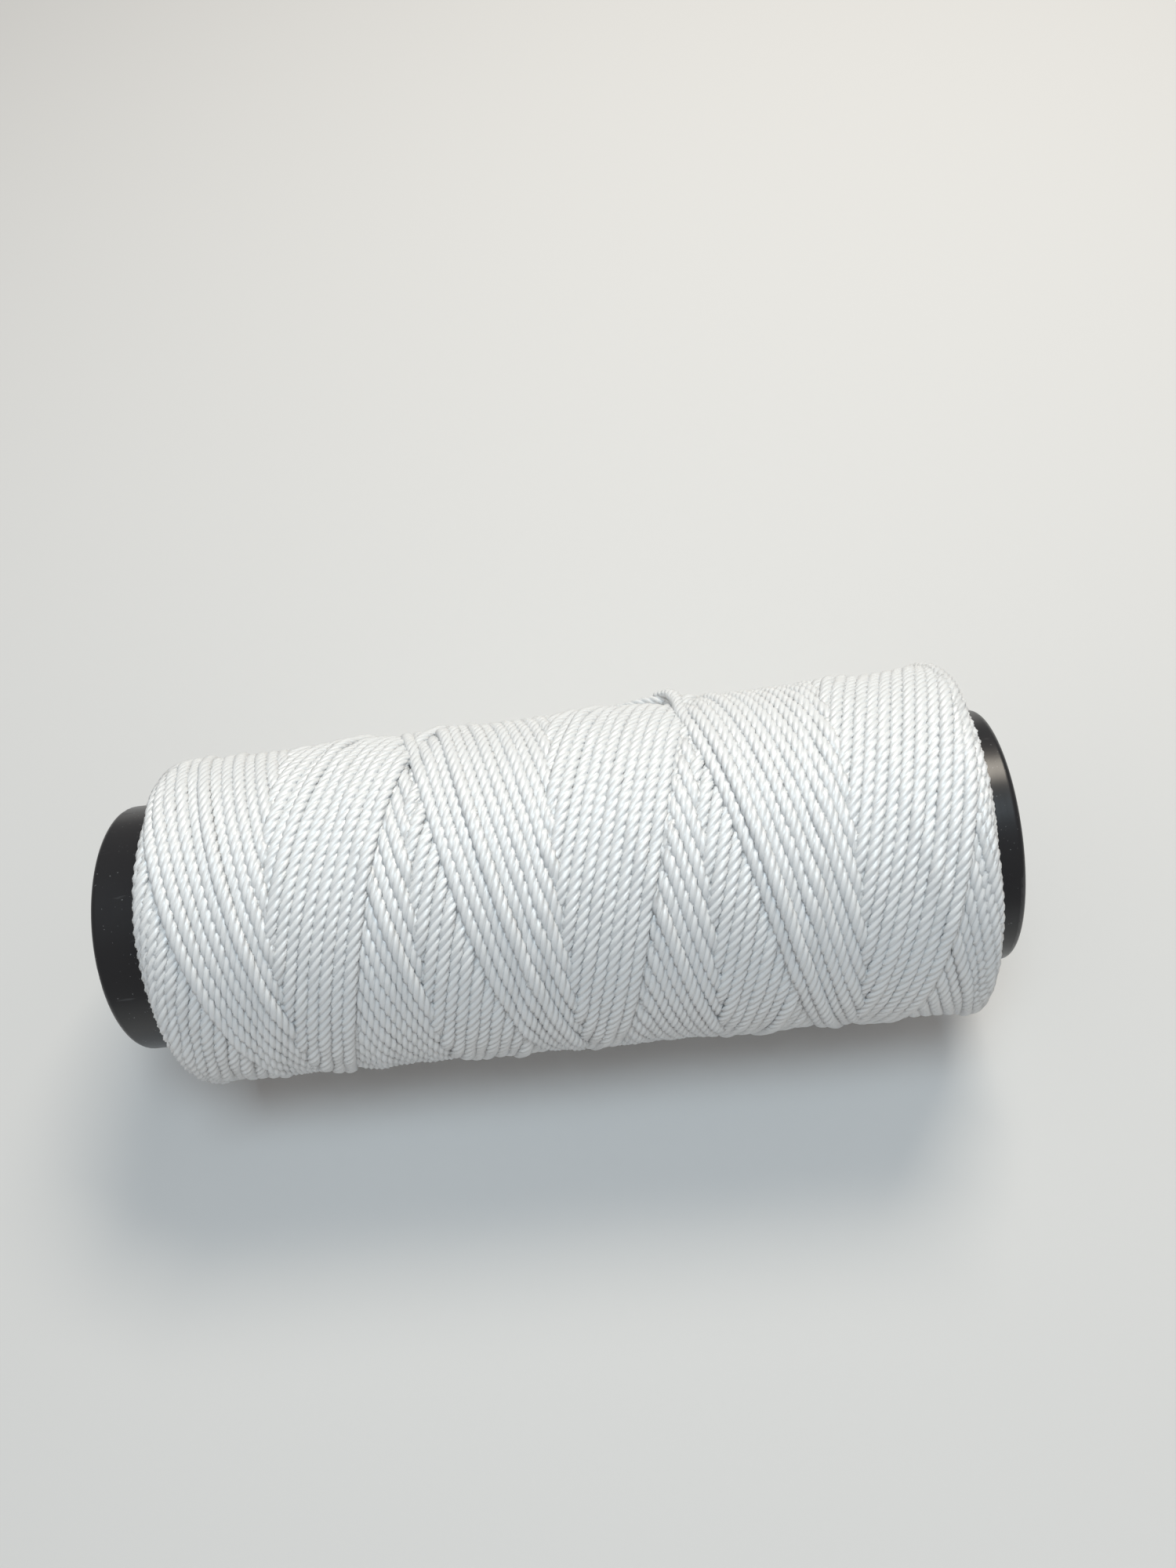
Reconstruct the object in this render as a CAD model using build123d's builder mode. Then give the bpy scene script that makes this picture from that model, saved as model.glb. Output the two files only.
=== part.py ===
from build123d import *
import math
import os

# A reel of white twine: one length of laid nylon twine, cross-wound on a plain black
# plastic tube. The reel lies on its side. X runs along the tube, Z is up, and the origin is in
# the middle of the tube's bore.

# Driving dimensions, in millimetres.
twine_diameter = 1.85

core_length = 145.0
core_outer_radius = 21.0
core_wall = 2.0
core_rim_round = 1.0
core_mouth_chamfer = 0.3

left_tube_shown = 9.2
right_tube_shown = 5.4
winding_left_radius = 27.9
winding_right_radius = 29.4
winding_left_shoulder = 5.0
winding_right_shoulder = 4.0

# The free end of the twine comes out from under the last turns high on the back of the winding
# and lies along it towards -X. Each point is (place along X, degrees up from the horizontal at
# the back, height of the twine's centre line above the winding, in twine diameters).
free_end_route = [
    (25.0, 19.5, -0.55),
    (20.5, 20.0, 0.45),
    (17.0, 16.0, 0.64),
    (11.5, 11.0, 0.66),
    (6.0, 9.0, 0.64),
    (1.0, 7.0, 0.64),
    (-3.5, 3.0, 0.63),
]
arc_share_of_shorter_run = 0.45

core_bore_radius = core_outer_radius - core_wall
core_left = -core_length / 2
core_right = core_length / 2
winding_left = core_left + left_tube_shown
winding_right = core_right - right_tube_shown
winding_length = winding_right - winding_left
winding_slope = (winding_right_radius - winding_left_radius) / winding_length


def winding_radius(x):
    """The radius of the winding's slightly tapered outside at a place along the tube."""
    return winding_left_radius + (x - winding_left) * winding_slope


def free_end_point(x, angle, height):
    """A point of the free end's route, from its place round the winding."""
    radius = winding_radius(x) + height * twine_diameter
    up = math.radians(angle)
    return Vector(x, radius * math.cos(up), radius * math.sin(up))


def arc_radii(points):
    """One arc for each corner of a route, as large as the two runs beside it allow."""
    radii = []
    for before, corner, after in zip(points, points[1:], points[2:]):
        turn = math.radians((corner - before).get_angle(after - corner))
        shorter = min((corner - before).length, (after - corner).length)
        radii.append(arc_share_of_shorter_run * shorter / math.tan(turn / 2))
    return radii


os.makedirs("parts", exist_ok=True)

# The tube that the twine is wound on: open at both ends, its outer rims rounded over and the
# mouths of its bore lightly chamfered.
with BuildPart() as core_tube:
    with BuildSketch(Plane.YZ.offset(core_left)):
        Circle(core_outer_radius)
        Circle(core_bore_radius, mode=Mode.SUBTRACT)
    extrude(amount=core_length)
    rims = core_tube.edges().filter_by(GeomType.CIRCLE)
    fillet(rims.filter_by(lambda e: e.radius > core_bore_radius + 1), radius=core_rim_round)
    mouths = core_tube.edges().filter_by(GeomType.CIRCLE)
    chamfer(mouths.filter_by(lambda e: abs(e.radius - core_bore_radius) < 0.01), core_mouth_chamfer)
core_tube.part.label = "core_tube"

# The wound twine, as one closed body of its outer shape: a sleeve round the tube that is a
# little fatter towards +X, with shoulders rounded where the twine turns back at each end.
with BuildPart() as twine_winding:
    with BuildSketch(Plane.XY) as winding_profile:
        with BuildLine():
            Polyline(
                (winding_left, core_outer_radius),
                (winding_left, winding_left_radius),
                (winding_right, winding_right_radius),
                (winding_right, core_outer_radius),
                close=True,
            )
        make_face()
        outer_corners = winding_profile.vertices().group_by(Axis.Y)
        fillet(outer_corners[-2], radius=winding_left_shoulder)
        fillet(winding_profile.vertices().sort_by(Axis.Y)[-1], radius=winding_right_shoulder)
    revolve(axis=Axis.X)
twine_winding.part.label = "twine_winding"

# The free end of the same twine, which comes out from under the last turns, lies along the back
# of the winding and ends in a plain cut.
free_end_points = [free_end_point(*place) for place in free_end_route]
free_end_radii = arc_radii(free_end_points)
print("free end's arcs, mm:", [round(radius, 1) for radius in free_end_radii])
with BuildPart() as twine_free_end:
    with BuildLine() as free_end_path:
        FilletPolyline(*free_end_points, radius=free_end_radii)
    with BuildSketch(free_end_path.line ^ 0):
        Circle(twine_diameter / 2)
    sweep()
    add(twine_winding.part, mode=Mode.SUBTRACT)
twine_free_end.part.label = "twine_free_end"

export_step(core_tube.part, "parts/core_tube.step")
export_step(twine_winding.part, "parts/twine_winding.step")
export_step(twine_free_end.part, "parts/twine_free_end.step")
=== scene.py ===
"""A reel of white twine: laid nylon twine, cross-wound on a black plastic tube.

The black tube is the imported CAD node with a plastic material. The twine, from its inner end on
the tube to its cut free end, is one mesh tube. Its turns are worked out by winding it, stroke by
stroke, on a map of the roll's height. The winding works in millimetres, with X along the tube
and angles in radians from +Y (the back) towards +Z (up).
"""

import math

import bpy
import numpy as np
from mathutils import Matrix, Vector


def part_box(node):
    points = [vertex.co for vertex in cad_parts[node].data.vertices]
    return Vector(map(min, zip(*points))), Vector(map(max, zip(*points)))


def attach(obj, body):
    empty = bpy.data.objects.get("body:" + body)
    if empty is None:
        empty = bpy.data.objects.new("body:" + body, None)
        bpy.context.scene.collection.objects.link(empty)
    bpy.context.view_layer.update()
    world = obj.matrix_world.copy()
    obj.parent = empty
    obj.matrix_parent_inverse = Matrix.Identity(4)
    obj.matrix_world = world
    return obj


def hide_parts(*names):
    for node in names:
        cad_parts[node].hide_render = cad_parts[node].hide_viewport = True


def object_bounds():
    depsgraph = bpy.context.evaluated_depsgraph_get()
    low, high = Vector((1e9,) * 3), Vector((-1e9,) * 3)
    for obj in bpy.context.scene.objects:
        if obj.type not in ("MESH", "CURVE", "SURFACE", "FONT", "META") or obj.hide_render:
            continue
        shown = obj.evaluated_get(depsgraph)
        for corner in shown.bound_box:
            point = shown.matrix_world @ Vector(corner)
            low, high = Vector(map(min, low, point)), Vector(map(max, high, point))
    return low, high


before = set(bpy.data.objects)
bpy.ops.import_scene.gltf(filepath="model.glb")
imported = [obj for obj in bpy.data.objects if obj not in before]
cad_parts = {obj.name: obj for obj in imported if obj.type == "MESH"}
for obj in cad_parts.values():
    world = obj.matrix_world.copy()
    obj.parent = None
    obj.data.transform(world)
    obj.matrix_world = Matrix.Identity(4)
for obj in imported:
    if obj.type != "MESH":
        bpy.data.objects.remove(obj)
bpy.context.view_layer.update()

MM = 0.001
TAU = 2 * math.pi

# The twine: its diameter, the length of one turn of its strands, and how much flatter and wider
# than a circle it lies, pressed between its neighbours.
TWINE = 1.85
RADIUS = TWINE / 2
LAY = 7.4
FLAT_RADIALLY = 0.90
WIDE_SIDEWAYS = 1.34

# How the twine is laid on the tube: strokes from end to end, 44 mm of travel in a turn, and each
# double stroke a little more than six turns, so that it lies beside the one before. The last
# strokes cover the roll once each way. The hidden ones inside step round much further each time,
# which fills the roll's ends evenly.
PITCH = 44.0
TRAVEL = PITCH / TAU
BESIDE = 1.87
COVERING = PITCH / BESIDE
DOUBLE_STROKES = 47
STROKES = 2 * DOUBLE_STROKES
TURNS_PER_STROKE = 3
TURN_BACK_RIGHT = 68.6
TURN_BACK_LEFT = TURN_BACK_RIGHT - TURNS_PER_STROKE * PITCH - BESIDE / 2
STROKE_ANGLE = (TURN_BACK_RIGHT - TURN_BACK_LEFT) / TRAVEL
LAST_CROSSING = math.radians(53.0)
INNER_STROKES = STROKES - round(2 * COVERING)
INNER_STROKE_ANGLE = TURNS_PER_STROKE * TAU + math.radians(100.5)

# How the roll grows. A stroke raises the map by a layer, and its centre line lies a layer less a
# radius over what was there. The newest strokes lie a little higher. The roll settles to the CAD
# roll's outline, drawn a little squarer at its ends, and twine that stands too proud is pressed in.
LAYER = 0.8
INNER_LAYER = 1.7
INNER_LUMPS_KEPT = 0.85
NEW_STROKES_RISE = 0.10
NEW_STROKES_SETTLE = 4.0
RISE_TO_OUTSIDE = -0.10
MOST_PROUD = 0.5
PRESSED_IN = 0.6
SQUARER = 0.8

# A stretch of twine lies across a strip of places on the map, every third of which is felt for
# height, and it bridges hollows about as long as this, in mm.
STRIP_CELLS = 27
STRIP_SAMPLE = 3
BRIDGING = 1.4

# Where the twine turns back: how far inside the roll's end, in mm. It grows with the roll, least
# where the end is fullest, and varies a little from turn to turn.
TURN_INSET = 0.95
TURN_INSET_GROWS = 0.35
TURN_INSET_VARIES = 1.3
TURN_INSET_FULLEST = math.radians(50)
TURN_INSET_WAVE = 0.25
TURN_INSET_WAVE_STEP = 2.4
TURN_INSET_CHANCE = 0.12

# How each stroke drifts aside: over how many map steps it changes, and by how much.
DRIFT_STEPS = 60
DRIFT = 0.06
LINE_SMOOTHING = 2.0

# Near the ends, where the turns pile up, they slide a little until the roll is round.
SLIDING = 0.2
SLIDING_REACH = 5.0
SLIDING_WAVES = 7

# The map of the roll's height.
STEPS = 720
STEP = TAU / STEPS
CELL = 0.25
MAP_MARGIN = 6.0

# The twine's inner end is tucked in under the roll, this part of a turn after the first place
# where it turns back.
INNER_END_IN = 0.35

# The free end, from where the last stroke ends. It first goes on along the stroke, sunk in the
# roll by a part of a twine diameter, then follows the route. Each point of the route is (place
# along X, degrees up from the horizontal at the back, height of its centre line above the winding,
# in twine diameters).
FREE_END_FROM = 31.4
FREE_END_LEAVES = math.radians(4.0)
LEAVES_ALONG = math.radians(6.0)
SUNK = -0.5
FREE_END_ROUTE = [
    (28.6, 17.0, -0.50),
    (25.3, 24.0, -0.45),
    (22.7, 27.5, -0.15),
    (18.0, 20.0, 0.40),
    (11.5, 11.0, 0.66),
    (6.0, 9.0, 0.64),
    (1.0, 7.0, 0.64),
    (-3.5, 3.0, 0.63),
]

# Towards its tip the free end rests on the turns under it.
RESTS_FROM = 19.0
RESTS_WITHIN = 6.0
RESTS_SMOOTHING = 4
RESTS_HEIGHT = 0.9 * RADIUS
RESTS_LOWER = 1.0

# Where the last-but-one stroke humps over the free end, pushed a little aside by it.
HUMP_PLACE = 22.5
HUMP_ANGLE = math.radians(27.0)
HUMP_RISE = 0.62 * TWINE
HUMP_FALL = 24.0
HUMP_REACH = 8.0
HUMP_HALF_TURN = 0.5
PUSHED_ASIDE = 1.8
PUSHED_FROM = math.radians(31.5)

rng = np.random.default_rng(29)


def smooth(values, sigma):
    """A Gaussian blur along a row of values, sigma in samples."""
    reach = int(3 * sigma) + 1
    kernel = np.exp(-0.5 * (np.arange(-reach, reach + 1) / sigma) ** 2)
    kernel /= kernel.sum()
    return np.convolve(np.pad(values, reach, mode="edge"), kernel, mode="valid")


def wander(count, sigma, size):
    """Smooth random drift of about that size, changing over about sigma samples."""
    coarse = max(4, int(count / sigma) + 4)
    knots = rng.normal(size=coarse) * size
    return np.interp(np.linspace(0, coarse - 1, count), np.arange(coarse), knots)


# ---------------------------------------------------------------- the CAD roll's outline

def outline(node):
    """The outer radius of a round CAD node along X, in mm, as two rows: places and radii."""
    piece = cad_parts[node]
    points = np.array([piece.matrix_world @ v.co for v in piece.data.vertices]) / MM
    along = np.round(points[:, 0], 2)
    radius = np.hypot(points[:, 1], points[:, 2])
    places = np.unique(along)
    return places, np.array([radius[along == place].max() for place in places])


ROLL_X, ROLL_R = outline("twine_winding")
LEFT, RIGHT = ROLL_X[0], ROLL_X[-1]
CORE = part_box("core_tube")[1][2] / MM


# ---------------------------------------------------------------- winding

class Heights:
    """The roll's height over the tube's axis, at each place along X and each angle round it."""

    def __init__(self):
        self.x0 = LEFT - MAP_MARGIN
        self.places = np.arange(self.x0, RIGHT + MAP_MARGIN, CELL)
        self.map = np.full((len(self.places), STEPS), CORE)
        inward = SQUARER * np.sign(LEFT + RIGHT - 2 * self.places)
        self.outside = np.interp(self.places + inward, ROLL_X, ROLL_R) + RISE_TO_OUTSIDE
        beyond = np.maximum(np.maximum(LEFT - self.places, self.places - RIGHT), 0)
        self.outside = np.maximum(self.outside - 3 * beyond, CORE)
        from_end = np.minimum(self.places - LEFT, RIGHT - self.places)
        self.slides = SLIDING * np.clip(2 - from_end / SLIDING_REACH, 0, 1)

    def cells(self, x, column):
        place = np.clip((x - self.x0) / CELL, 0, len(self.places) - 2)
        row = place.astype(int)
        return row, place - row, np.rint(column).astype(int) % STEPS

    def under(self, x, column):
        row, share, column = self.cells(x, column)
        return self.map[row, column] * (1 - share) + self.map[row + 1, column] * share

    def lay(self, x, column, thickness):
        row, share, column = self.cells(x, column)
        np.add.at(self.map, (row, column), (1 - share) * thickness)
        np.add.at(self.map, (row + 1, column), share * thickness)

    def settle(self, strokes_done):
        """The roll settles evenly, so that its mean height grows from the tube to its outside."""
        covering = 2 * COVERING
        left_to_do = STROKES - strokes_done
        top_layers = 2 * LAYER * np.minimum(left_to_do / covering, 1)
        inner = np.maximum(self.outside - 2 * LAYER, CORE)
        grown = min(strokes_done / (STROKES - covering), 1)
        level = np.sqrt(CORE**2 + (inner**2 - CORE**2) * grown)
        kept = INNER_LUMPS_KEPT
        if grown == 1:
            level = np.maximum(self.outside - top_layers, CORE)
            kept = 1
        self.map = level[:, None] + kept * (self.map - self.map.mean(1)[:, None])
        waves = np.fft.rfft(self.map, axis=1)
        waves[:, 1:SLIDING_WAVES] *= 1 - self.slides[:, None]
        self.map = np.maximum(np.fft.irfft(waves, STEPS, axis=1), CORE)


def stroke_starts():
    """The angle, counted on through all the turns, at which each stroke starts and the last ends."""
    before_last = np.arange(INNER_STROKES, STROKES + 1) - (STROKES - 2)
    outer = LAST_CROSSING + before_last * STROKE_ANGLE
    inner = outer[0] - np.arange(INNER_STROKES, 0, -1) * INNER_STROKE_ANGLE
    return np.concatenate([inner, outer])


STARTS = stroke_starts()


def turn_place(side, count):
    """Where the twine turns back at an end of the roll, the count-th time."""
    grown = count / STROKES
    off_fullest = STARTS[count] - TURN_INSET_FULLEST
    inset = TURN_INSET + TURN_INSET_GROWS * grown
    inset += TURN_INSET_VARIES * grown * math.sin(off_fullest / 2) ** 2
    inset += TURN_INSET_WAVE * math.sin(TURN_INSET_WAVE_STEP * count)
    inset += TURN_INSET_CHANCE * rng.normal()
    return (RIGHT if side > 0 else LEFT) - side * inset


def stroke_line(number, turns):
    """One stroke's angles and places, with its turns at both ends rounded."""
    way = 1 if number % 2 == 0 else -1
    begin, end = STARTS[number : number + 2]
    travel = (TURN_BACK_RIGHT - TURN_BACK_LEFT) / (end - begin)
    steps = np.arange(math.ceil(begin / STEP), math.ceil(end / STEP))
    angle = steps * STEP
    virtual = {1: TURN_BACK_RIGHT, -1: TURN_BACK_LEFT}
    x = virtual[-way] + way * travel * (angle - begin)
    for side, at, count in ((-way, begin, number), (way, end, number + 1)):
        turn = turns[count]
        reach = 2 * abs(virtual[side] - turn) / travel
        near = np.abs(angle - at) < reach
        x[near] = turn - side * travel / (2 * reach) * (angle[near] - at) ** 2
    return steps, angle, x


def lay_strand(heights, steps, x, mean_radius, layer, rise, lift=None):
    """Lays a stretch of twine on the roll and gives its centre line's radius."""
    slope = np.gradient(x, STEP) / mean_radius
    straight = 1 / np.sqrt(1 + slope**2)
    across = (np.arange(STRIP_CELLS) - STRIP_CELLS // 2) / STRIP_CELLS * BESIDE
    px = x[:, None] + across * straight[:, None]
    pc = steps[:, None] - across * (slope * straight)[:, None] / mean_radius / STEP
    under = heights.under(px[:, ::STRIP_SAMPLE], pc[:, ::STRIP_SAMPLE]).mean(1)
    radius = smooth(under, BRIDGING / (mean_radius * STEP)) + layer - RADIUS + rise
    proud = radius + FLAT_RADIALLY * RADIUS - np.interp(x, ROLL_X, ROLL_R)
    radius = radius - PRESSED_IN * np.maximum(proud - MOST_PROUD, 0)
    if lift is not None:
        radius = np.maximum(radius, lift)
    width = BESIDE / STRIP_CELLS / CELL
    heights.lay(px, pc, np.broadcast_to(LAYER * width / straight[:, None], px.shape))
    return radius


def wind():
    """Winds the roll. Gives its centre line and the free end's, as angles, places and radii."""
    heights = Heights()
    turns = [turn_place(1 if count % 2 else -1, count) for count in range(STROKES + 1)]
    rows = []
    mean_radius = CORE + RADIUS
    for number in range(STROKES):
        steps, angle, x = stroke_line(number, turns)
        x = x + wander(len(x), DRIFT_STEPS, DRIFT) * np.hanning(len(x)) ** 0.2
        if number == STROKES - 2:
            tail = lay_free_end(heights)
            x = x + pushed_aside(angle, x)
        if number == STROKES - 1:
            keep = angle <= leave_angle()
            steps, angle, x = steps[keep], angle[keep], x[keep]
        age = (STROKES - 1 - number) / 2
        rise = NEW_STROKES_RISE * math.exp(-age / NEW_STROKES_SETTLE)
        lift = None
        if number == STROKES - 2:
            lift = over_free_end(tail, angle, x)
        layer = INNER_LAYER if number < INNER_STROKES else LAYER
        radius = lay_strand(heights, steps, x, mean_radius, layer, rise, lift)
        heights.settle(number + 1)
        mean_radius = float(np.median(radius))
        rows.append(np.array([angle, x, radius]))
    line = np.concatenate(rows, axis=1)[:, round(INNER_END_IN * STEPS) :]
    line[2] = smooth(line[2], LINE_SMOOTHING)
    return line, np.array(tail)


def leave_angle():
    """The angle, counted on through all the turns, at which the last stroke ends."""
    reached = STARTS[STROKES - 1] + (TURN_BACK_RIGHT - FREE_END_FROM) / TRAVEL
    return round((reached - FREE_END_LEAVES) / TAU) * TAU + FREE_END_LEAVES


def to_space(angle, x, radius):
    """Places in mm, one row each, of points given round the tube."""
    return np.stack([x, radius * np.cos(angle), radius * np.sin(angle)], axis=-1)


def spline_points(points):
    """The NURBS spline of a route, as the points of a curve with no bevel, in metres."""
    curve = bpy.data.curves.new("route", "CURVE")
    curve.dimensions = "3D"
    curve.resolution_u = 24
    spline = curve.splines.new("NURBS")
    spline.points.add(len(points) - 1)
    for place, point in zip(spline.points, points):
        place.co = (*point, 1)
    spline.order_u = 3
    spline.use_endpoint_u = True
    holder = bpy.data.objects.new("route", curve)
    bpy.context.scene.collection.objects.link(holder)
    mesh = bpy.data.meshes.new_from_object(holder)
    found = np.array([v.co[:] for v in mesh.vertices])
    bpy.data.objects.remove(holder)
    bpy.data.curves.remove(curve)
    bpy.data.meshes.remove(mesh)
    return found


def free_end_line():
    """The free end's angles, places and radii, from the last stroke's end to its cut tip."""
    x_leave = TURN_BACK_RIGHT - TRAVEL * (leave_angle() - STARTS[STROKES - 1])
    points = []
    for x, up, height in [
        (x_leave, FREE_END_LEAVES, SUNK),
        (x_leave - TRAVEL * LEAVES_ALONG, FREE_END_LEAVES + LEAVES_ALONG, SUNK),
        *((x, math.radians(up), height) for x, up, height in FREE_END_ROUTE),
    ]:
        radius = (np.interp(x, ROLL_X, ROLL_R) + height * TWINE) * MM
        points.append((x * MM, radius * math.cos(up), radius * math.sin(up)))
    line = spline_points(points) / MM
    return np.arctan2(line[:, 2], line[:, 1]), line[:, 0], np.hypot(line[:, 1], line[:, 2])


def lay_free_end(heights):
    """Rests the free end on the roll as it is before the last two strokes."""
    angle, x, radius = free_end_line()
    column = angle / STEP
    rested = smooth(heights.under(x, column), RESTS_SMOOTHING) + RESTS_HEIGHT
    blend = np.clip((RESTS_FROM - x) / RESTS_WITHIN, 0, 1)
    radius = radius * (1 - blend) + np.maximum(rested, radius - RESTS_LOWER) * blend
    return angle, x, radius


def near_hump(angle, x, middle):
    """How far round the roll each point is from the hump's middle, and which are near it."""
    off = (angle - middle + math.pi) % TAU - math.pi
    return off, (np.abs(x - HUMP_PLACE) < HUMP_REACH) & (np.abs(off) < HUMP_HALF_TURN)


def pushed_aside(angle, x):
    """How far the stroke over the free end is pushed along the roll by it."""
    off, near = near_hump(angle, x, PUSHED_FROM)
    return PUSHED_ASIDE * near * np.cos(off * math.pi / 2 / HUMP_HALF_TURN) ** 2


def over_free_end(tail, angle, x):
    """The least radius of the last-but-one stroke where it humps over the free end."""
    t_angle, t_x, t_radius = tail
    lift = np.full(len(x), -np.inf)
    off, near = near_hump(angle, x, HUMP_ANGLE)
    for i in np.flatnonzero(near):
        apart = np.hypot(t_x - x[i], (t_angle - HUMP_ANGLE - off[i]) * t_radius)
        nearest = apart.argmin()
        lift[i] = t_radius[nearest] + HUMP_RISE - apart[nearest] ** 2 / HUMP_FALL
    return lift


# ---------------------------------------------------------------- the twine's mesh

# The twine's section: four raised strands, each with points at its groove and over its crown.
# Sizes are parts of the twine's radius.
STRANDS = 4
ROUND_IT = np.radians([lobe + turn for lobe in (0, 90, 180, 270) for turn in (0, 14, 45, 76)])
SECTION = len(ROUND_IT)
STRAND_OFF_CENTRE = 0.52
STRAND_RADIUS = 0.48
SQUASHED = 2.2
OUTLINE_STEPS = 721
UNTWISTED_RADIUS = 0.9

# Turns that show have a ring at every other map step, and the hidden ones one at every 24th. A
# turn shows where it comes near the top of the roll, or near an end's face.
SHOWN_STEP = 2
HIDDEN_STEP = 24
UNDER_THE_TOP = 0.7
SEEN_ACROSS = np.linspace(-0.95, 0.95, 9)
SEEN_ROWS_SPARE = 20
SEEN_SPREAD = 6
SEEN_SHARE = 0.02

# The free end's rings are evenly spaced. Its first points ease over from the last stroke's height,
# and its last rings go back from the pressed section to a round one.
FREE_END_SPACING = 0.49
FREE_END_CLEAR = 0.4
JOIN_POINTS = 30
ROUND_TIP_RINGS = 90
ROUND_TIP_POWER = 6

# Small unevenness of the twine: how its lay and its thickness drift, and over how many rings.
LAY_DRIFT_RINGS = 40
LAY_DRIFT = 0.035
THICKNESS_DRIFT_RINGS = 25
THICKNESS_DRIFT = 0.012

# The rounded-over cut at the free end: (mm past the last ring, part of its size).
CUT_RINGS = np.array([[0.35, 0.93], [0.6, 0.75], [0.75, 0.45]])
CUT_TILE = 0.02


def strand_section():
    """The radius of the strands laid together, at each point round the twine."""
    from_strand = ROUND_IT % (TAU / STRANDS) - TAU / STRANDS / 2
    sideways = STRAND_OFF_CENTRE * np.sin(from_strand)
    return STRAND_OFF_CENTRE * np.cos(from_strand) + np.sqrt(STRAND_RADIUS**2 - sideways**2)


def squashed_circle(turned):
    """The twine's outline pressed between its neighbours, measured evenly along the outline."""
    angle = np.linspace(0, TAU, OUTLINE_STEPS)
    corner = np.abs(np.cos(angle)) ** SQUASHED + np.abs(np.sin(angle)) ** SQUASHED
    corner = corner ** (1 / SQUASHED)
    out = FLAT_RADIALLY * np.cos(angle) / corner
    aside = WIDE_SIDEWAYS * np.sin(angle) / corner
    run = np.concatenate([[0], np.cumsum(np.hypot(np.diff(out), np.diff(aside)))])
    share = turned / TAU % 1 * run[-1]
    return np.interp(share, run, out), np.interp(share, run, aside)


def shows(line):
    """Which points of the winding's line can be seen from outside or from an end."""
    angle, x, radius = line
    slope = np.gradient(x) / (np.gradient(angle) * radius)
    straight = 1 / np.sqrt(1 + slope**2)
    proud = RADIUS * np.sqrt(1 - SEEN_ACROSS**2)
    off = SEEN_ACROSS * RADIUS
    column = np.rint((angle[:, None] - off * (slope * straight)[:, None] / radius[:, None]) / STEP)
    column = column.astype(int) % STEPS

    row = ((x[:, None] + off * straight[:, None] - LEFT) / CELL).astype(int) + SEEN_ROWS_SPARE
    top = radius[:, None] + proud
    highest = np.zeros((row.max() + 1, STEPS))
    np.maximum.at(highest, (row, column), top)
    seen = (top > highest[row, column] - UNDER_THE_TOP).any(1)

    row = ((radius[:, None] + off) / CELL).astype(int)
    column = np.broadcast_to(np.rint(angle / STEP).astype(int)[:, None] % STEPS, row.shape)
    for side in (1, -1):
        reach = side * x[:, None] + proud
        furthest = np.full((row.max() + 1, STEPS), -np.inf)
        np.maximum.at(furthest, (row, column), reach)
        seen |= (reach > furthest[row, column] - UNDER_THE_TOP).any(1)
    return smooth(seen.astype(float), SEEN_SPREAD) > SEEN_SHARE


def twine_line():
    """The twine's whole centre line in mm, and where it shows."""
    line, tail = wind()
    tail[2, :JOIN_POINTS] += (line[2, -1] - tail[2, 0]) * np.linspace(1, 0, JOIN_POINTS)
    seen = shows(line)
    index = np.arange(line.shape[1])
    kept = (seen & (index % SHOWN_STEP == 0)) | (index % HIDDEN_STEP == 0)
    body = to_space(*line[:, kept])
    end = to_space(*tail)
    apart = np.linalg.norm(end - body[-1], axis=1)
    end = end[apart > FREE_END_CLEAR]
    run = np.concatenate([[0], np.cumsum(np.linalg.norm(np.diff(end, axis=0), axis=1))])
    even = np.arange(0, run[-1], FREE_END_SPACING)
    end = np.stack([np.interp(even, run, end[:, axis]) for axis in range(3)], axis=1)
    points = np.concatenate([body, end])
    shown = np.concatenate([seen[kept], np.ones(len(end), bool)])
    return points, shown


def unit(vectors):
    return vectors / np.linalg.norm(vectors, axis=1)[:, None]


def twine_rings(points, shown, step):
    """The rings of points round the twine, and how many lays of it each ring is along."""
    count = len(points)
    tangent = unit(np.gradient(points, axis=0))
    outward = points * (0, 1, 1)
    outward = unit(outward - tangent * (outward * tangent).sum(1)[:, None])
    sideways = np.cross(tangent, outward)

    lays = np.cumsum(np.where(shown, step, 0)) / LAY
    loose_lay = wander(count, LAY_DRIFT_RINGS, LAY_DRIFT)
    turned = (lays + loose_lay)[:, None] * TAU + ROUND_IT
    size = RADIUS * (1 + wander(count, THICKNESS_DRIFT_RINGS, THICKNESS_DRIFT))
    section = np.where(shown[:, None], strand_section(), UNTWISTED_RADIUS) * size[:, None]

    to_tip = count - np.arange(count)
    pressed = np.minimum(to_tip / ROUND_TIP_RINGS, 1)[:, None] ** ROUND_TIP_POWER
    out, aside = squashed_circle(turned)
    out = np.cos(turned) + (out - np.cos(turned)) * pressed
    aside = np.sin(turned) + (aside - np.sin(turned)) * pressed
    rings = (
        points[:, None]
        + (section * out)[:, :, None] * outward[:, None]
        + (section * aside)[:, :, None] * sideways[:, None]
    )
    middle = points[-1]
    last = rings[-1] - middle
    cut = [middle + last * scale + tangent[-1] * ahead for ahead, scale in CUT_RINGS]
    return np.concatenate([rings, cut]), np.concatenate([lays, lays[-1] + CUT_RINGS[:, 0] / LAY])


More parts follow.
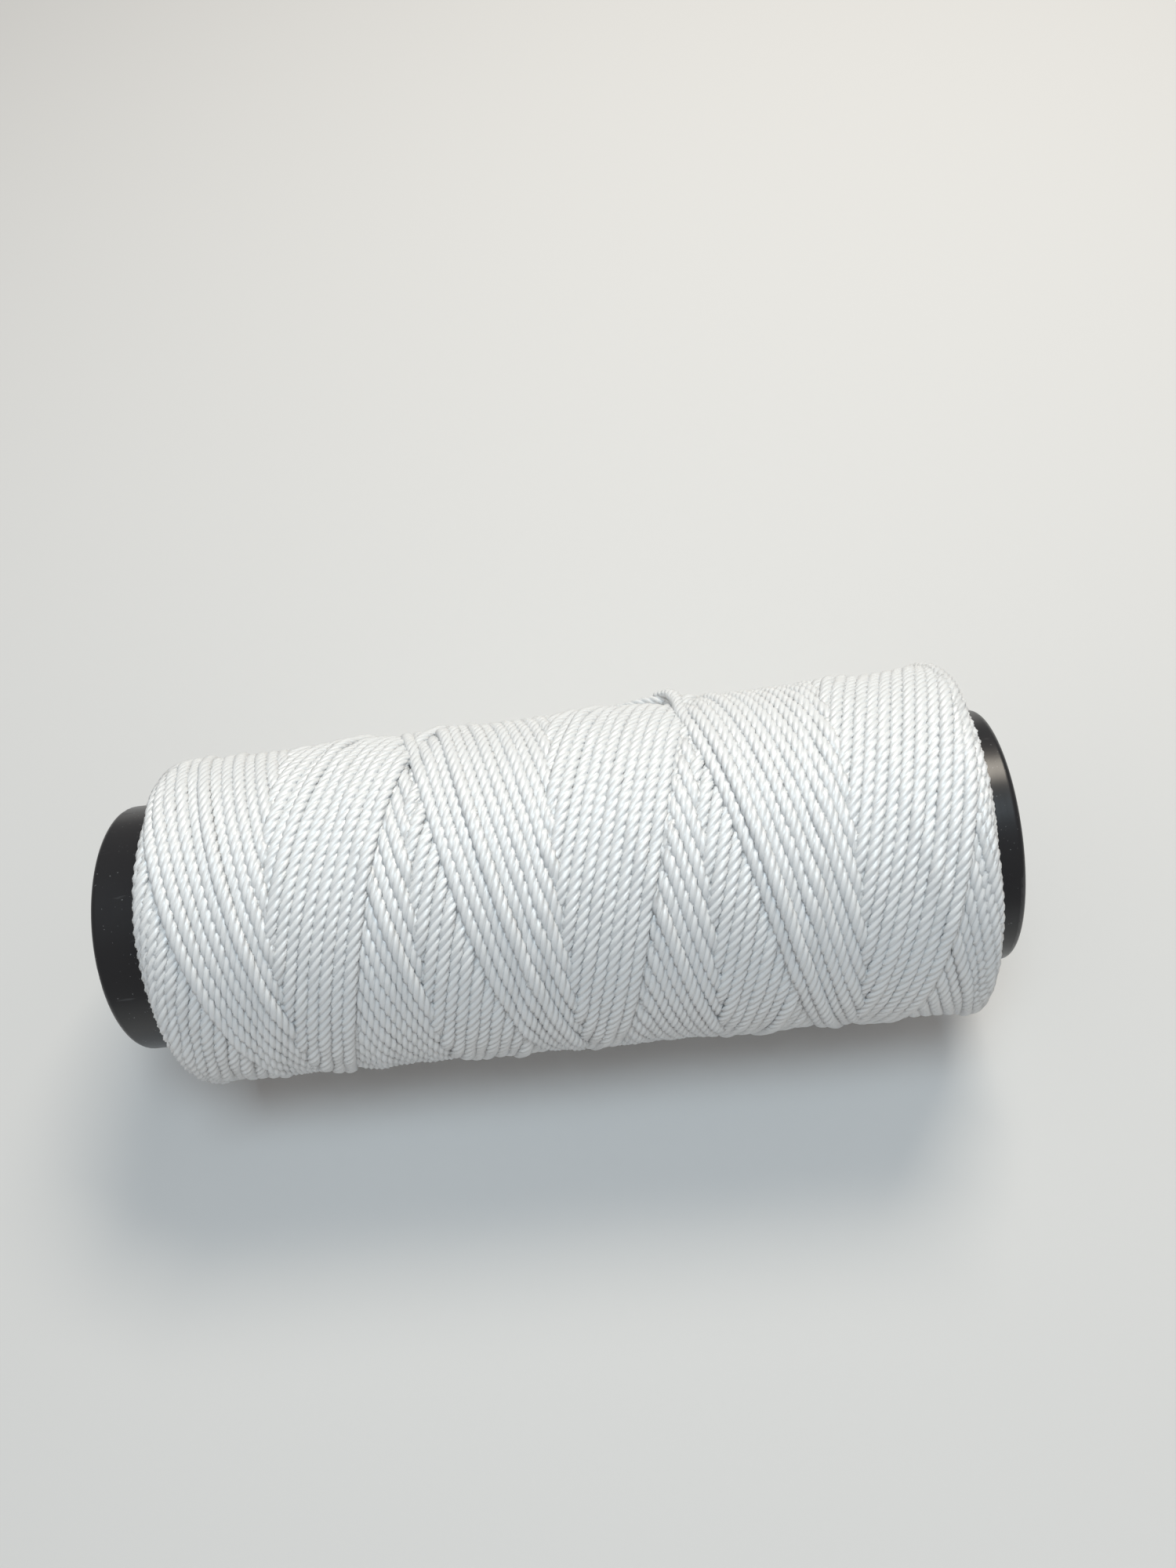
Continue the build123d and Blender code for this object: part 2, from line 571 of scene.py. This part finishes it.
def ring_mesh(rings):
    """One closed tube through the rings, with a flat cap at each end."""
    around = np.arange(SECTION)
    after = (around + 1) % SECTION
    first = (np.arange(len(rings) - 1) * SECTION)[:, None]
    quads = np.stack(
        [first + around, first + after, first + SECTION + after, first + SECTION + around], axis=-1
    ).reshape(-1, 4)
    caps = np.array([around[::-1], around + (len(rings) - 1) * SECTION])
    mesh = bpy.data.meshes.new("twine")
    mesh.vertices.add(rings.size // 3)
    mesh.vertices.foreach_set("co", (rings * MM).astype(np.float32).ravel())
    loops = np.concatenate([quads.ravel(), caps.ravel()]).astype(np.int32)
    mesh.loops.add(len(loops))
    mesh.loops.foreach_set("vertex_index", loops)
    starts = np.concatenate([np.arange(len(quads)) * 4, len(quads) * 4 + np.array([0, SECTION])])
    mesh.polygons.add(len(starts))
    mesh.polygons.foreach_set("loop_start", starts.astype(np.int32))
    mesh.polygons.foreach_set("use_smooth", np.ones(len(starts), bool))
    mesh.update(calc_edges=True)
    return mesh


def lay_tiles(mesh, lays):
    """One lay of the twine is one tile of the UV map, so every lay shares the same texture."""
    base = np.floor(lays[:-1])[:, None]
    u0 = np.broadcast_to(lays[:-1][:, None] - base, (len(lays) - 1, SECTION))
    u1 = np.broadcast_to(lays[1:][:, None] - base, (len(lays) - 1, SECTION))
    v0 = np.broadcast_to(ROUND_IT / TAU, u0.shape)
    v1 = np.broadcast_to(np.append(ROUND_IT[1:], TAU) / TAU, u0.shape)
    sides = np.stack([u0, v0, u0, v1, u1, v1, u1, v0], axis=-1).ravel()
    cap = CUT_TILE * np.stack([np.cos(ROUND_IT), np.sin(ROUND_IT)], -1) + 0.5
    uv = mesh.uv_layers.new(name="OFBake")
    uv.data.foreach_set("uv", np.concatenate([sides, cap.ravel(), cap.ravel()]).astype(np.float32))


def make_twine():
    points, shown = twine_line()
    step = np.concatenate([[0], np.linalg.norm(np.diff(points, axis=0), axis=1)])
    rings, lays = twine_rings(points, shown, step)
    mesh = ring_mesh(rings)
    lay_tiles(mesh, lays)
    twine = bpy.data.objects.new("twine", mesh)
    bpy.context.scene.collection.objects.link(twine)

    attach(twine, "root")
    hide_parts("twine_winding", "twine_free_end")
    return twine


# ---------------------------------------------------------------- camera, light and floor

CAMERA_PLACE = (0.01658, -0.0853, 0.18293)
CAMERA_TURN = (29.142, 5.608, -4.371)

# The background is brighter to look at than its light on the reel, and the floor fades into it
# from one distance to another, in metres.
BACKGROUND = (1.0, 0.97, 0.945, 1)
BACKGROUND_SEEN = 0.90
BACKGROUND_LIGHT = 0.34
FADE_FROM = 0.4
FADE_TO = 1.3
FADE = 0.66
FLOOR_SIZE = 6


def add_camera():
    data = bpy.data.cameras.new("camera")
    data.lens = 27
    data.sensor_width = 36
    data.clip_start = 0.005
    data.clip_end = 20
    camera = bpy.data.objects.new("camera", data)
    camera.location = CAMERA_PLACE
    camera.rotation_euler = [math.radians(angle) for angle in CAMERA_TURN]
    bpy.context.scene.collection.objects.link(camera)
    bpy.context.scene.camera = camera


def add_light(name, place, size, watts, colour):
    data = bpy.data.lights.new(name, "AREA")
    data.shape = "RECTANGLE"
    data.size, data.size_y = size
    data.energy = watts
    data.color = colour
    light = bpy.data.objects.new(name, data)
    light.location = place
    light.rotation_euler = (-Vector(place)).to_track_quat("-Z", "Y").to_euler()
    bpy.context.scene.collection.objects.link(light)


def add_studio():
    world = bpy.data.worlds.new("studio")
    world.use_nodes = True
    background = world.node_tree.nodes["Background"]
    background.inputs["Color"].default_value = BACKGROUND
    rays = world.node_tree.nodes.new("ShaderNodeLightPath")
    strength = world.node_tree.nodes.new("ShaderNodeMapRange")
    strength.inputs["To Min"].default_value = BACKGROUND_LIGHT
    strength.inputs["To Max"].default_value = BACKGROUND_SEEN
    world.node_tree.links.new(rays.outputs["Is Camera Ray"], strength.inputs["Value"])
    world.node_tree.links.new(strength.outputs["Result"], background.inputs["Strength"])
    bpy.context.scene.world = world
    add_light("window", (0.18, 0.37, 0.56), (0.3, 0.2), 2.6, (1.0, 0.92, 0.80))
    add_light("overhead", (0.02, -0.05, 0.72), (0.3, 0.25), 2.15, (0.74, 0.90, 1.0))
    bpy.context.scene.view_settings.view_transform = "Standard"


# ---------------------------------------------------------------- materials

class Nodes:
    """Short calls for building a material's nodes."""

    def __init__(self, name):
        self.material = bpy.data.materials.new(name)
        self.material.use_nodes = True
        self.tree = self.material.node_tree
        self.shader = self.tree.nodes["Principled BSDF"]

    def add(self, kind, settings=(), **inputs):
        node = self.tree.nodes.new(kind)
        for key, value in dict(settings).items():
            setattr(node, key, value)
        for key, value in inputs.items():
            self.feed(node, key.replace("_", " "), value)
        return node

    def feed(self, node, name, value):
        socket = node.inputs[int(name)] if name.isdigit() else node.inputs[name]
        if isinstance(value, bpy.types.NodeSocket):
            self.tree.links.new(value, socket)
        else:
            socket.default_value = value

    def maths(self, operation, first, second=0.0, third=0.0):
        node = self.add("ShaderNodeMath", {"operation": operation})
        for place, value in enumerate((first, second, third)):
            self.feed(node, str(place), value)
        return node.outputs[0]

    def blend(self, share, low, high):
        node = self.add("ShaderNodeMix", {"data_type": "RGBA"})
        self.feed(node, "0", share)
        self.feed(node, "6", (*low, 1))
        self.feed(node, "7", (*high, 1))
        return node.outputs[2]

    def between(self, value, low, high, to_low=0.0, to_high=1.0):
        node = self.add("ShaderNodeMapRange", {"interpolation_type": "SMOOTHSTEP"})
        for name, number in (
            ("Value", value),
            ("From Min", low),
            ("From Max", high),
            ("To Min", to_low),
            ("To Max", to_high),
        ):
            self.feed(node, name, number)
        return node.outputs["Result"]


def tiling_noise(nodes, uv, along, around, detail=2.0):
    """Noise on one lay of the twine that meets itself at the tile's edges."""
    parts = {}
    for axis, radius in (("X", along), ("Y", around)):
        turn = nodes.maths("MULTIPLY", uv.outputs[axis], TAU)
        for name in ("COSINE", "SINE"):
            parts[axis + name] = nodes.maths("MULTIPLY", nodes.maths(name, turn), radius)
    place = nodes.add("ShaderNodeCombineXYZ")
    for axis, key in (("X", "XCOSINE"), ("Y", "XSINE"), ("Z", "YCOSINE")):
        nodes.feed(place, axis, parts[key])
    noise = nodes.add("ShaderNodeTexNoise", {"noise_dimensions": "4D"})
    nodes.feed(noise, "Vector", place.outputs[0])
    nodes.feed(noise, "W", parts["YSINE"])
    nodes.feed(noise, "Scale", 1.0)
    nodes.feed(noise, "Detail", detail)
    return noise.outputs["Fac"]


def twine_material():
    """Lustrous white nylon: fine filaments along each strand, with painted shade between the strands:
    the base colour is greyer and cooler in the grooves and lightest on the crowns.
    """
    nodes = Nodes("twisted_nylon")
    map_node = nodes.add("ShaderNodeUVMap", {"uv_map": "OFBake"})
    uv = nodes.add("ShaderNodeSeparateXYZ")
    nodes.feed(uv, "Vector", map_node.outputs[0])
    filaments = tiling_noise(nodes, uv, 0.35, 4.2, 3.0)
    mottle = tiling_noise(nodes, uv, 1.2, 1.6)
    round_it = nodes.maths("MULTIPLY", uv.outputs["Y"], STRANDS * TAU / 2)
    crown = nodes.maths("ABSOLUTE", nodes.maths("SINE", round_it))
    tone = nodes.maths("MULTIPLY_ADD", filaments, 0.5, nodes.maths("MULTIPLY", mottle, 0.5))
    # Painted shade: the grooves between the strands get a greyer, cooler base colour, and the crowns a
    # whiter one.
    painted_groove_shade = nodes.between(crown, 0.0, 0.35, 0.2, 1.0)
    filament_tone_and_painted_groove_shade = nodes.maths("MULTIPLY", painted_groove_shade, nodes.between(tone, 0.2, 0.65, 0.6, 1.0))
    # The base colour blends from grey-blue, for the painted groove shade and the filaments' darker
    # tone, to white.
    nodes.feed(nodes.shader, "Base Color", nodes.blend(filament_tone_and_painted_groove_shade, (0.72, 0.735, 0.75), (0.88, 0.89, 0.895)))
    nodes.feed(nodes.shader, "Roughness", nodes.between(tone, 0.3, 0.7, 0.36, 0.26))
    bump = nodes.add("ShaderNodeBump", Strength=1.0, Distance=0.00012)
    nodes.feed(bump, "Height", filaments)
    nodes.feed(nodes.shader, "Normal", bump.outputs[0])
    nodes.shader.inputs["Specular IOR Level"].default_value = 1.0
    nodes.shader.inputs["Coat Weight"].default_value = 0.5
    nodes.shader.inputs["Coat Roughness"].default_value = 0.28
    nodes.shader.inputs["Sheen Weight"].default_value = 0.05
    nodes.shader.inputs["Subsurface Weight"].default_value = 0.35
    nodes.shader.inputs["Subsurface Scale"].default_value = 0.0008
    nodes.shader.inputs["Subsurface Radius"].default_value = (1.0, 1.0, 1.0)
    return nodes.material


def tube_material():
    """Semi-gloss black plastic with faint rings, fine scratches and a little dust."""
    nodes = Nodes("black_plastic")
    place = nodes.add("ShaderNodeTexCoord").outputs["Object"]

    def noise(scale, detail=3.0, stretch=(1, 1, 1)):
        mapping = nodes.add("ShaderNodeMapping", Vector=place, Scale=stretch)
        return nodes.add(
            "ShaderNodeTexNoise", Vector=mapping.outputs[0], Scale=scale, Detail=detail
        ).outputs["Fac"]

    rings = noise(1400, 2.0, (1, 0.05, 0.05))
    scratches = noise(900, 4.0, (0.12, 1, 1))
    patches = noise(120, 3.0)
    dust = noise(2600, 1.0)
    specks = nodes.between(dust, 0.74, 0.78)
    marks = nodes.between(scratches, 0.66, 0.74)
    scuffs = nodes.maths("MULTIPLY", marks, 0.12)
    wear = nodes.maths("MAXIMUM", nodes.maths("MULTIPLY", specks, 0.5), scuffs)
    nodes.feed(nodes.shader, "Base Color", nodes.blend(wear, (0.011, 0.011, 0.013), (0.30, 0.30, 0.31)))
    rough = nodes.maths("MULTIPLY_ADD", patches, 0.16, 0.22)
    rougher = nodes.maths("MULTIPLY", marks, 0.15)
    nodes.feed(nodes.shader, "Roughness", nodes.maths("ADD", rough, rougher))
    height = nodes.maths("MULTIPLY_ADD", rings, 0.5, nodes.maths("MULTIPLY", patches, 0.3))
    bump = nodes.add("ShaderNodeBump", Strength=0.15, Distance=0.0001)
    nodes.feed(bump, "Height", height)
    nodes.feed(nodes.shader, "Normal", bump.outputs[0])
    nodes.shader.inputs["Specular IOR Level"].default_value = 0.5
    return nodes.material


def floor_material():
    """A plain pale floor, which fades into the background far from the reel."""
    nodes = Nodes("pale_floor")
    nodes.shader.inputs["Base Color"].default_value = (0.70, 0.695, 0.69, 1)
    nodes.shader.inputs["Roughness"].default_value = 0.8
    place = nodes.add("ShaderNodeNewGeometry").outputs["Position"]
    reach = nodes.add("ShaderNodeVectorMath", {"operation": "LENGTH"})
    nodes.feed(reach, "0", place)
    faded = nodes.between(reach.outputs["Value"], FADE_FROM, FADE_TO, 0.0, FADE)
    seen = nodes.add("ShaderNodeLightPath").outputs["Is Camera Ray"]
    nodes.feed(nodes.shader, "Emission Strength", nodes.maths("MULTIPLY", faded, seen))
    nodes.shader.inputs["Emission Color"].default_value = BACKGROUND
    return nodes.material


def dress(piece, material):
    piece.data.materials.clear()
    piece.data.materials.append(material)


# ---------------------------------------------------------------- the scene

add_camera()
twine = make_twine()
dress(twine, twine_material())
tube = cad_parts["core_tube"]
for slot in tube.material_slots:
    slot.material = tube_material()

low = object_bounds()[0]
bpy.ops.mesh.primitive_plane_add(size=FLOOR_SIZE, location=(0, 0, low.z))
floor = bpy.context.object
floor.name = "floor"
dress(floor, floor_material())
add_studio()
